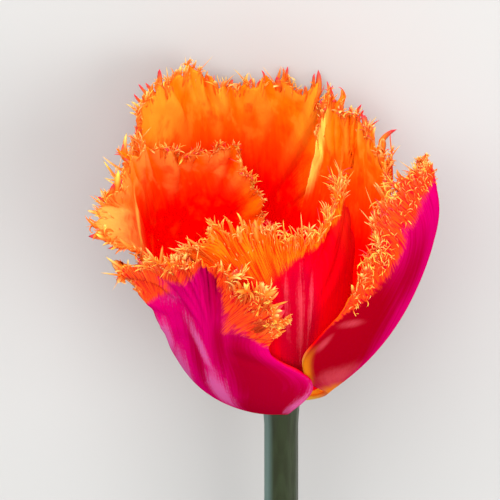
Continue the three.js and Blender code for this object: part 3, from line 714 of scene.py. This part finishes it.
class Fringe:
    """The strands of one petal's rim, drawn from the petal's own seed."""

    def __init__(self, petal):
        self.petal = petal
        self.shell = Shell(STRAND_VALUES)
        self.random = np.random.default_rng(petal.seed)

    def draw(self, count, low, high, power=1.0):
        return low + (high - low) * self.random.uniform(0, 1, count) ** power

    def grow(self, place, size, *rest, **settings):
        u, v = place
        keep = size > SHORTEST
        strands(self.petal, self.shell, u[keep], v[keep], *(value[keep] for value in rest), **settings)

    def tufts(self):
        """Hairs that spring from one place on the margin and part and curl as they rise."""
        petal, draw, random = self.petal, self.draw, self.random
        tufts = petal.tufts
        tuft = np.repeat(np.arange(tufts), random.integers(*HAIRS_IN_TUFT, tufts))
        n = len(tuft)
        centre = draw(tufts, 0, 1)
        place = petal.margin(np.clip(centre[tuft] + random.normal(0, TUFT_SPREAD, n), 0, 1))
        size = petal.round_rim(petal.hair, *place)
        side = petal.round_rim(petal.comb, *place) + draw(tufts, *PARTING)[tuft] + draw(n, *PARTING)
        turn = petal.round_rim(petal.lean, *place) + draw(tufts, *PARTING)[tuft] + draw(n, -0.5, 0.5)
        needle = draw(n, 0, 1) < NEEDLE_SHARE
        curly = (draw(tufts, 0, 1) < petal.curly)[tuft]
        length = np.maximum(size, LEAST_SIZE) * draw(tufts, *TUFT_LENGTH)[tuft] * draw(n, *HAIR_LENGTH)
        length = length * np.where(needle, NEEDLE_LENGTH, 1)
        radius = draw(n, *HAIR_RADIUS) * np.where(curly, CURLY_RADIUS, 1)
        radius = radius * np.where(needle, NEEDLE_RADIUS, 1)
        angle = draw(n, 0, math.tau)
        bend = np.where(curly, draw(n, *CURLED), draw(n, *HAIR_BEND))
        bend = np.where(needle, NEEDLE_BEND, bend)
        tint = np.clip(draw(tufts, *TUFT_TINT)[tuft] + draw(n, -0.12, 0.12), 0, 1)
        self.grow(place, size, np.full(n, HAIR_BURIED), length, radius, radius, side, turn,
                  rolled(angle, bend), np.zeros(n), tint)

    def teeth(self):
        """Broad points in groups like fingers."""
        petal, draw, random = self.petal, self.draw, self.random
        groups = petal.teeth
        group_size = random.integers(*TEETH_IN_FINGERS, groups)
        group = np.repeat(np.arange(groups), group_size)
        n = len(group)
        centre = (np.arange(groups) + draw(groups, 0, 1)) / groups
        finger = np.arange(n) - np.repeat(np.cumsum(group_size) - group_size, group_size)
        middle = finger - (group_size[group] - 1) / 2
        place = petal.margin(np.clip(centre[group] + TOOTH_STEP * middle, 0, 1))
        size = petal.round_rim(petal.lobes, *place) / FULL_LOBE
        length = draw(groups, *TOOTH_LENGTH)[group]
        length = np.maximum(size, LEAST_SIZE) * length * draw(n, 0.6, 1.1)
        side = petal.round_rim(petal.comb, *place) + TOOTH_FAN * middle + draw(groups, -0.4, 0.4)[group]
        turn = petal.round_rim(petal.lean, *place) + draw(groups, -0.9, 0.6)[group] + draw(n, -0.2, 0.2)
        curl = np.stack([draw(n, -0.5, 0.5), draw(groups, -1.6, 1.2)[group]], -1)
        crimson = draw(groups, 0, 1) < petal.crimson
        tint = np.where(crimson, 1.0, draw(groups, 0.25, 0.86))[group]
        width = draw(n, *TOOTH_WIDTH) * np.sqrt(np.maximum(size, LEAST_SIZE))
        self.grow(place, size, np.full(n, TOOTH_BURIED), length, width,
                  np.full(n, TOOTH_THICKNESS), side, turn, curl, np.zeros(n), tint + draw(n, -0.08, 0.08),
                  sides=TOOTH_SIDES)

    def ribs(self):
        """Strands that lie on either face of the rim zone and end as short hairs."""
        petal, draw = self.petal, self.draw
        n = petal.ribs
        start = petal.margin(draw(n, 0, 1))
        zone = np.maximum(petal.round_rim(petal.rim_zone, *start), 1)
        face = np.where(draw(n, 0, 1) < OUTER_RIBS, 1.0, -1.0)
        place = petal.inward(*start, zone * draw(n, 0, 0.4, 2))
        size = petal.round_rim(petal.hair, *place)
        radius = draw(n, *RIB_RADIUS)
        bend = face * draw(n, -0.3, 0.9)
        buried = zone * draw(n, *RIB_BURIED)
        length = np.maximum(size, 0.2) * draw(n, *RIB_LENGTH)
        side = 0.5 * petal.round_rim(petal.comb, *place) + draw(n, -0.2, 0.2)
        turn = face * draw(n, 0, 0.5)
        curl = np.stack([draw(n, -0.4, 0.4), bend], -1)
        self.grow(place, size, buried, length, radius * RIB_FLATNESS, radius, side, turn, curl,
                  face, draw(n, 0.45, 1), steps=RIB_STEPS)

    def curls(self):
        """Short hairs that stand up from the outer face of the rim zone and roll over."""
        petal, draw = self.petal, self.draw
        n = petal.curls
        start = petal.margin(draw(n, *petal.curls_at))
        zone = petal.round_rim(petal.rim_zone, *start)
        place = petal.inward(*start, zone * draw(n, 0, petal.curls_in, 0.7))
        size = petal.round_rim(petal.hair, *place)
        angle = draw(n, 0, math.tau)
        bend = draw(n, *CURLED)
        radius = draw(n, *CURL_RADIUS)
        self.grow(place, size, np.full(n, CURL_BURIED), draw(n, *CURL_LENGTH), radius, radius,
                  draw(n, -0.7, 0.7), draw(n, 0.3, 1.3), rolled(angle, bend), np.ones(n),
                  draw(n, 0, 0.55))


# Materials

def fill(tree, made, values):
    """Sets a node's inputs to these values, or joins them to these outputs."""
    for key, value in values.items():
        if isinstance(value, bpy.types.NodeSocket):
            tree.links.new(value, made.inputs[key])
        else:
            made.inputs[key].default_value = value


def node(tree, kind, values, **settings):
    made = tree.nodes.new(kind)
    for key, value in settings.items():
        setattr(made, key, value)
    fill(tree, made, values)
    return made


def new_material(name):
    material = bpy.data.materials.new(name)
    material.use_nodes = True
    tree = material.node_tree
    tree.nodes.clear()
    shader = node(tree, "ShaderNodeBsdfPrincipled", {})
    node(tree, "ShaderNodeOutputMaterial", {0: shader.outputs[0]})
    return material, tree, shader


def attribute(tree, name):
    return node(tree, "ShaderNodeAttribute", {}, attribute_name=name).outputs["Fac"]


def maths(tree, operation, a, b):
    return node(tree, "ShaderNodeMath", {0: a, 1: b}, operation=operation).outputs[0]


def ramp(tree, value, low, high, to_low=0.0, to_high=1.0):
    """A value that eases from to_low to to_high while another goes from low to high."""
    values = {"Value": value, "From Min": low, "From Max": high, "To Min": to_low, "To Max": to_high}
    return node(tree, "ShaderNodeMapRange", values, interpolation_type="SMOOTHSTEP").outputs["Result"]


def mix(tree, share, under, over):
    made = node(tree, "ShaderNodeMix", {"Factor": share}, data_type="RGBA")
    keys = {s.name: i for i, s in enumerate(made.inputs) if s.type == "RGBA"}
    fill(tree, made, {keys["A"]: under, keys["B"]: over})
    return next(s for s in made.outputs if s.type == "RGBA")


def layered(tree, colour, *layers):
    """A colour under layers, each a share and the colour that it brings."""
    for share, over in layers:
        colour = mix(tree, share, colour, over)
    return colour


def noise(tree, vector, scale, detail, roughness):
    values = {"Vector": vector, "Scale": scale, "Detail": detail, "Roughness": roughness}
    return node(tree, "ShaderNodeTexNoise", values).outputs["Fac"]


def grains(tree, scale, detail, roughness):
    return noise(tree, node(tree, "ShaderNodeTexCoord", {}).outputs["Object"], scale, detail, roughness)


def stretched(tree, x, wide, y, tall, detail, roughness):
    """Noise over two values, with about this many grains to each of them."""
    where = {0: maths(tree, "MULTIPLY", x, wide), 1: maths(tree, "MULTIPLY", y, tall)}
    vector = node(tree, "ShaderNodeCombineXYZ", where).outputs[0]
    return noise(tree, vector, 1, detail, roughness)


def relief(tree, height, strength, distance):
    values = {"Height": height, "Strength": strength, "Distance": distance}
    return node(tree, "ShaderNodeBump", values).outputs[0]


def srgb(red, green, blue):
    """A display colour, 0 to 255, as the linear colour that a shader takes."""
    def linear(value):
        value /= 255
        return value / 12.92 if value <= 0.04045 else ((value + 0.055) / 1.055) ** 2.4
    return (linear(red), linear(green), linear(blue), 1.0)


# Colours of the hairs' ends, each with the tints between which it replaces the one before
HAIR_END = srgb(255, 220, 84)
HAIR_ENDS = (
    (0.2, 0.5, srgb(255, 206, 116)), (0.6, 0.75, srgb(255, 140, 50)), (0.88, 0.94, srgb(240, 44, 70)))


def colours_of(petal):
    return {key: srgb(*colour) for key, colour in petal.palette.items()}


def petal_material(petal):
    material, tree, shader = new_material(petal.name + "_skin")
    colours = colours_of(petal)
    along, across, zone, fan, inside, pale, deep, warm, ridge, glow = (
        attribute(tree, key) for key in SKIN_VALUES)

    def fine_along(wide, tall, detail=3):
        return stretched(tree, across, wide, along, tall, detail, 0.6)

    def fine_round(wide, tall, detail=3):
        return stretched(tree, fan, wide, zone, tall, detail, 0.55)

    def eased(*values):
        return ramp(tree, *values)

    def times(a, b):
        return maths(tree, "MULTIPLY", a, b)

    def added(value, extra, amount):
        return maths(tree, "ADD", value, times(maths(tree, "SUBTRACT", extra, 0.5), amount))

    veins = fine_along(22, 3, 4)
    fine = fine_along(60, 5)
    rays = fine_round(4.2, 1.6)
    blotch = fine_round(0.16, 0.9, 2)
    speck = fine_along(70, 75, 2)
    cloud = fine_along(5, 9)

    # Outside: body colour, darker spots that on the front outer petal also paint shade and paler spots
    # that also paint sheen on rounded edges, broken into fine streaks, a pale base and the rim zone
    streaks = added(added(added(pale, fine, petal.streaky), speck, 0.5 * petal.streaky), cloud, 0.5)
    border = added(added(added(added(zone, rays, 0.6), blotch, 0.5), speck, 0.4), cloud, 0.7)
    rim = mix(tree, eased(rays, 0.42, 0.62), colours["rim"], colours["rim_line"])
    outside = layered(
        tree, colours["body"],
        (eased(added(deep, veins, 0.5), 0.2, 0.9), colours["deep"]),
        (eased(fine, 0.45, 0.75, 0.0, 0.4), colours["deep"]),
        (eased(streaks, 0.32, 0.92, 0.0, 0.78), colours["pale"]),
        (eased(added(glow, veins, 0.3), 0.2, 0.9), colours["patch"]),
        (eased(added(along, veins, 0.06), 0.17, 0.06), colours["base"]),
        (eased(border, 1.25, 0.75), rim))

    # Inside: yellow base, red depth, orange above, yellow-orange rim, painted light on the ridges of
    # folds and painted shade in their redder hollows, yellower spots, painted highlights and red and
    # orange mottling
    # The folds' height is painted as light on their ridges and as shade in their hollows.
    fold_shading = added(ridge, blotch, 1.2)
    above = eased(along, *petal.rise)
    inner = layered(
        tree, colours["inner_base"],
        (eased(along, 0.06, 0.2), colours["inner"]),
        (eased(added(along, veins, 0.14), *petal.rise), colours["inner_upper"]),
        (eased(border, 1.5, 0.2, 0.0, 0.8), colours["inner_rim"]),
        (times(eased(fold_shading, 0.1, 1.1, 0.0, 0.65), above), colours["warm"]),
        (eased(fold_shading, -0.1, -1.1, 0.0, 0.25), colours["shade_and_mottle"]),
        # Yellower spots; on the left inner petal this spot is painted light on a lit flap.
        (eased(added(warm, veins, 0.35), 0.25, 1.0), colours["warm"]),
        # Painted highlights where the glow spots lie.
        (eased(added(glow, veins, 0.35), 0.25, 1.0), colours["light"]),
        (times(eased(cloud, 0.5, 0.7, 0.0, 0.65), eased(zone, 0.2, 0.9)), colours["shade_and_mottle"]),
        (times(eased(cloud, 0.48, 0.32, 0.0, 0.65), above), colours["warm"]))

    height = mix(tree, eased(zone, 1.4, 0.8), fine, rays)
    fill(tree, shader, {
        "Base Color": mix(tree, inside, outside, inner), "Roughness": 0.6, "Specular IOR Level": 0.0,
        "Subsurface Weight": 0.1, "Subsurface Radius": (1.0, 0.3, 0.1), "Subsurface Scale": 0.0005,
        "Normal": relief(tree, height, 0.3, 0.00025)})
    return material


def strand_material(petal):
    material, tree, shader = new_material(petal.name + "_hair")
    colours = colours_of(petal)
    share, tint = (attribute(tree, key) for key in STRAND_VALUES)
    tip = layered(tree, HAIR_END, *((ramp(tree, tint, low, high), end) for low, high, end in HAIR_ENDS))
    free = mix(tree, ramp(tree, share, 0.15, 0.9), colours["hair_foot"], tip)
    grain = grains(tree, 900, 2, 0.5)
    colour = layered(
        tree, colours["rim"],
        (ramp(tree, share, -0.6, 0.1), free),
        (ramp(tree, grain, 0.35, 0.7, 0.0, 0.12), colours["rim_line"]))
    fill(tree, shader, {"Base Color": colour, "Roughness": 0.5, "Specular IOR Level": 0.2})
    return material


def pistil_material():
    material, tree, shader = new_material("pistil_skin")
    grain = grains(tree, 900, 4, 0.6)
    colour = mix(tree, ramp(tree, grain, 0.35, 0.65), srgb(150, 170, 60), srgb(196, 200, 110))
    normal = relief(tree, grain, 0.4, 0.0002)
    fill(tree, shader, {"Base Color": colour, "Roughness": 0.55, "Normal": normal})
    return material


def stem_material():
    material, tree, shader = new_material("stem_skin")
    turn, left, down = (attribute(tree, key) for key in ("turn", "left", "down"))
    grain = stretched(tree, turn, 9, down, 26, 4, 0.6)
    # The stem's colours are darkened as painted shade: a dark base, a dark olive band of painted shade on
    # the side that faces the viewer and a pale grey-green painted highlight, the waxy bloom as lit, down
    # the left side.
    colour = layered(
        tree, srgb(20, 28, 3),
        (ramp(tree, grain, 0.35, 0.68), srgb(46, 60, 34)),
        (ramp(tree, turn, -0.1, 0.9, 0.0, 0.6), srgb(34, 42, 6)),
        (ramp(tree, left, 0.4, 0.85, 0.0, 0.75), srgb(96, 126, 120)))
    fill(tree, shader, {
        "Base Color": colour, "Roughness": 0.5, "Specular IOR Level": 0.25, "Subsurface Weight": 0.1,
        "Subsurface Radius": (0.4, 0.6, 0.2), "Subsurface Scale": 0.003, "Sheen Weight": 0.12,
        "Normal": relief(tree, grain, 0.25, 0.0003)})
    return material


def stamen_material():
    material, tree, shader = new_material("stamen_skin")
    grain = grains(tree, 3500, 3, 0.6)
    dust = mix(tree, ramp(tree, grain, 0.4, 0.65), srgb(34, 18, 34), srgb(92, 66, 60))
    colour = mix(tree, attribute(tree, "anther"), srgb(196, 190, 80), dust)
    normal = relief(tree, grain, 0.6, 0.0002)
    fill(tree, shader, {"Base Color": colour, "Roughness": 0.8, "Normal": normal})
    return material


# Stem, pistil and stamens

STEM_LENGTH = 180
STEM_RADIUS = 3.8
STEM_CUT_RADIUS = 4.2
STEM_END_RISE = math.radians(4.8)
STEM_BEND_POWER = 1.5
STEM_CAD_RINGS = 14
STEM_SIDES = 64
STEM_RINGS = 150
STEM_RIDGES = 11
STEM_RIDGE = 0.012
RECEPTACLE_PROFILE = [
    [-9, 3.8], [-4.5, 4.1], [-1.6, 4.75], [0, 4.9], [1.4, 4.55], [2.6, 4.0], [3.2, 3.9]]
RECEPTACLE_RINGS = 24
RIGHT = np.array([1.0, 0, 0])
BACKWARD = np.array([0, 1.0, 0])


def tube(shell, centres, across, other, radii, **values):
    """A closed round body through rings with these centres, axes and radii, and values for its points."""
    across, other = np.atleast_2d(across, other)
    count, sides = radii.shape
    angle = ring_angles(sides)
    ring = (centres[:, None, :] + (radii * np.cos(angle))[..., None] * across[:, None, :]
            + (radii * np.sin(angle))[..., None] * other[:, None, :])
    index = np.arange(count * sides).reshape(count, sides)
    ahead = np.roll(index, -1, 1)
    faces = np.stack([index[:-1], ahead[:-1], ahead[1:], index[1:]], -1).reshape(-1, 4)
    points = np.concatenate([ring.reshape(-1, 3), centres[:1], centres[-1:]])
    first, last = count * sides, count * sides + 1
    foot = np.stack([index[0], np.full(sides, first), ahead[0]], -1)
    top = np.stack([index[-1], ahead[-1], np.full(sides, last)], -1)
    shell.add(points, [faces, foot, top], **values)


def rounded(profile, rings):
    """Heights and radii of the smooth outline through the corners of a profile."""
    heights, radii = np.array(profile).T
    dense = np.linspace(0, 1, rings)
    return np.interp(dense, np.linspace(0, 1, len(heights)), heights), through(radii, dense)


def on_axis(heights):
    return np.stack([np.zeros_like(heights)] * 2 + [heights], -1)


def build_stem():
    shell = Shell(("turn", "left", "down"))
    stations = np.arange(STEM_CAD_RINGS + 1) / STEM_CAD_RINGS
    bends = (AXIS_RISE - STEM_END_RISE) * stations**STEM_BEND_POWER
    step = STEM_LENGTH / STEM_CAD_RINGS
    y, z = (np.concatenate([[0], np.cumsum(-part(bends[1:]) * step)]) for part in (np.sin, np.cos))
    z = RECEPTACLE_PROFILE[0][0] + z
    share = np.linspace(1, 0, STEM_RINGS)
    bend = np.interp(share, stations, bends)
    centres = np.stack([0 * share, np.interp(share, stations, y), np.interp(share, stations, z)], -1)
    other = np.stack([0 * share, np.cos(bend), -np.sin(bend)], -1)
    radius = STEM_RADIUS + (STEM_CUT_RADIUS - STEM_RADIUS) * share
    top_height, top_radius = rounded(RECEPTACLE_PROFILE[1:], RECEPTACLE_RINGS)
    centres = np.concatenate([centres, on_axis(top_height)])
    other = np.concatenate([other, np.tile(BACKWARD, (RECEPTACLE_RINGS, 1))])
    radius = np.concatenate([radius, top_radius])
    angle = ring_angles(STEM_SIDES)
    ridges = 1 - STEM_RIDGE + STEM_RIDGE * np.cos(STEM_RIDGES * angle)
    # turn is how far a point faces the viewer and left how far it faces the image's left; the stem's
    # material paints shade and a highlight from them.
    turn, left = (np.concatenate([np.tile(-part(angle), len(radius)), [0, 0]])
                  for part in (np.sin, np.cos))
    down = np.concatenate([np.repeat(np.arange(len(radius)) / len(radius), STEM_SIDES), [0, 1]])
    tube(shell, centres, RIGHT, other, radius[:, None] * ridges, turn=turn, left=left, down=down)
    shell.build("stem_fine", stem_material(), slot="stem", node="stem")


PISTIL_PROFILE = [[3.5, 1.9], [5, 2.25], [9, 2.5], [15, 2.45], [20, 2.1], [23, 1.75]]
STIGMA_PROFILE = [[24.2, 2.9], [25.4, 3.6], [26.4, 3.3], [27, 1.6]]
PISTIL_RINGS = 26
PISTIL_SIDES = 72
PISTIL_LOBES = 3
OVARY_RIDGE = 0.09
STIGMA_LOBE = 0.3
STIGMA_FRILLS = 21
STIGMA_FRILL = 0.03


def build_pistil():
    shell = Shell(())
    angle = ring_angles(PISTIL_SIDES)
    lobes = np.cos(PISTIL_LOBES * angle)
    frill = STIGMA_FRILL * np.cos(STIGMA_FRILLS * angle)
    ovary_heights, ovary = rounded(PISTIL_PROFILE, PISTIL_RINGS)
    stigma_heights, stigma = rounded(STIGMA_PROFILE, PISTIL_RINGS)
    radii = np.concatenate([ovary[:, None] * (1 + OVARY_RIDGE * lobes),
                            stigma[:, None] * (1 + STIGMA_LOBE * lobes + frill)])
    tube(shell, on_axis(np.concatenate([ovary_heights, stigma_heights])), RIGHT, BACKWARD, radii)
    shell.build("pistil_fine", pistil_material(), slot="pistil", node="pistil")


STAMEN_COUNT = 6
STAMEN_START_AZIMUTH = 27
STAMEN_RINGS = 20
STAMEN_SIDES = 28
FILAMENT_FOOT = (3.15, 3.5)
FILAMENT_TOP = (6.2, 11.5)
FILAMENT_OVERLAP = 1.05
FILAMENT_RADIUS = 0.55
FILAMENT_FOOT_SIZE = 1.15
FILAMENT_TAPER = 0.45
ANTHER_TOP = (8.6, 24)
ANTHER_RADIUS = 1.25
ANTHER_ENDS = 0.02
ANTHER_GROOVE = 0.16
ANTHER_GROOVE_POWER = 6


def build_stamen(number, material):
    shell = Shell(("anther",))
    azimuth = math.radians(STAMEN_START_AZIMUTH + 360 * number / STAMEN_COUNT)
    outward = np.array([math.cos(azimuth), math.sin(azimuth), 0])
    sideways = np.array([-math.sin(azimuth), math.cos(azimuth), 0])
    t = np.linspace(0, 1, STAMEN_RINGS)
    angle = ring_angles(STAMEN_SIDES)
    filament = FILAMENT_RADIUS * (FILAMENT_FOOT_SIZE - FILAMENT_TAPER * t)
    anther = ANTHER_RADIUS * np.sqrt(np.clip(1 - (2 * t - 1) ** 4, ANTHER_ENDS, 1))
    groove = 1 - ANTHER_GROOVE * np.abs(np.cos(2 * angle)) ** ANTHER_GROOVE_POWER
    for (x0, z0), (x1, z1), s, radius, ripple, is_anther in (
            (FILAMENT_FOOT, FILAMENT_TOP, FILAMENT_OVERLAP * t, filament, np.ones_like(angle), 0.0),
            (FILAMENT_TOP, ANTHER_TOP, t, anther, groove, 1.0)):
        centres = (x0 + (x1 - x0) * s)[:, None] * outward + on_axis(z0 + (z1 - z0) * s)
        tube(shell, centres, outward, sideways, radius[:, None] * ripple, anther=is_anther)
    name = f"stamen_{number + 1}"
    shell.build(name + "_fine", material, slot="stamen", node=name)


for petal in PETALS:
    slot = "outer_petal" if "outer" in petal.name else "inner_petal"
    skin = Shell(SKIN_VALUES)
    blade(petal, skin)
    skin.build(petal.name + "_fine", petal_material(petal), slot, petal.name)
    fringe = Fringe(petal)
    fringe.tufts()
    fringe.teeth()
    fringe.ribs()
    fringe.curls()
    fringe.shell.build(petal.name + "_fringe", strand_material(petal), slot, petal.name)

build_stem()
build_pistil()
dark = stamen_material()
for number in range(STAMEN_COUNT):
    build_stamen(number, dark)


# Floor, light and camera

FLOOR_HALF = 3.0
FLOOR_DROP = 0.0002
WORLD_STRENGTH = 0.72

# The photograph is taken 32 degrees above the plane of the receptacle, from the bloom's azimuth 270
VIEW_ELEVATION = math.radians(32)
VIEW_DISTANCE = 900
VIEW_WIDTH = 110
RECEPTACLE_PIXEL = (281, 388)
PICTURE = 500
SENSOR_WIDTH = 36
CLIP_START = 0.01
CLIP_END = 20


def area_light(name, place_mm, aim_mm, size_mm, power):
    data = bpy.data.lights.new(name, "AREA")
    data.shape = "SQUARE"
    data.size = size_mm * MM
    data.energy = power
    light = add_object(name, data)
    light.location = Vector(place_mm) * MM
    direction = (Vector(aim_mm) - Vector(place_mm)).normalized()
    light.rotation_euler = direction.to_track_quat("-Z", "Y").to_euler()


def build_floor():
    mesh = bpy.data.meshes.new("floor")
    corners = [(x * FLOOR_HALF, y * FLOOR_HALF, 0) for x, y in ((-1, -1), (1, -1), (1, 1), (-1, 1))]
    mesh.from_pydata(corners, [], [(0, 1, 2, 3)])
    floor = add_object("floor", mesh)
    floor.location.z = -FLOOR_DROP
    material, tree, shader = new_material("floor_paint")
    fill(tree, shader, {"Base Color": (0.5, 0.5, 0.49, 1), "Roughness": 0.9})
    mesh.materials.append(material)


def build_camera():
    e = VIEW_ELEVATION
    toward = np.array([0, -math.cos(e), math.sin(e)])
    up = np.array([0, math.sin(e), math.cos(e)])
    scale = VIEW_WIDTH / PICTURE
    eye = to_row(toward * VIEW_DISTANCE)
    target = to_row(RIGHT * (PICTURE / 2 - RECEPTACLE_PIXEL[0]) * scale
                    + up * (RECEPTACLE_PIXEL[1] - PICTURE / 2) * scale)
    row_up = Vector(to_row(up) - to_row([0, 0, 0])).normalized()
    data = bpy.data.cameras.new("camera")
    data.sensor_width = SENSOR_WIDTH
    data.lens = SENSOR_WIDTH * VIEW_DISTANCE / VIEW_WIDTH
    data.clip_start = CLIP_START
    data.clip_end = CLIP_END
    camera = add_object("camera", data)
    back = (Vector(eye) - Vector(target)).normalized()
    side = row_up.cross(back).normalized()
    top = back.cross(side)
    turn = Matrix((side, top, back)).transposed()
    camera.matrix_world = Matrix.Translation(Vector(eye)) @ turn.to_4x4()
    bpy.context.scene.camera = camera


build_floor()
area_light("key", (-220, 480, 700), (0, 0, 30), 900, 6)
area_light("fill", (500, -100, 600), (0, 0, 30), 600, 4)
area_light("low_glow", (0, 700, 200), (0, 0, 25), 400, 2.5)
build_camera()

world = bpy.data.worlds.new("studio")
bpy.context.scene.world = world
world.use_nodes = True
background = world.node_tree.nodes["Background"]
background.inputs["Color"].default_value = (1, 1, 1, 1)
background.inputs["Strength"].default_value = WORLD_STRENGTH
bpy.context.scene.view_settings.view_transform = "Standard"
